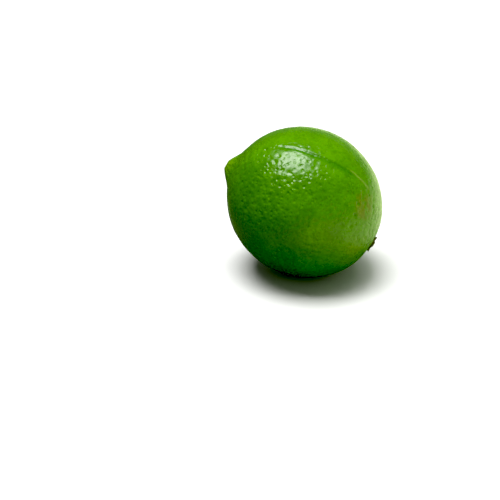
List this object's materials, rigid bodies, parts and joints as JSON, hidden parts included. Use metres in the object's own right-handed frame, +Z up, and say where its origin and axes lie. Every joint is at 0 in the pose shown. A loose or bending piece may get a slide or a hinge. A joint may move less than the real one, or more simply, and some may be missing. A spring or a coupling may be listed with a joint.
{
  "type": "whole lime",
  "caption": "Whole oval green lime lying on its side, with a small nipple at the style end and a dried button at the stem end.",
  "frame": {"origin": "middle of the footprint of the whole lime, on the plane that it rests on", "axes": "+Z up; +X to the right along the fruit's length, with the stem end right and lower and the nipple left and higher; the viewer of the picture stands on -Y"},
  "size_m": [0.058, 0.0542, 0.0539],
  "materials": {
    "rind": "waxy semi-gloss green citrus rind, pitted by its oil glands",
    "stem_button": "matt, dry, brown-green, fibrous"
  },
  "bodies": {
    "root": {"fruit": "rind", "stem_button": "stem_button"}
  },
  "joints": []
}
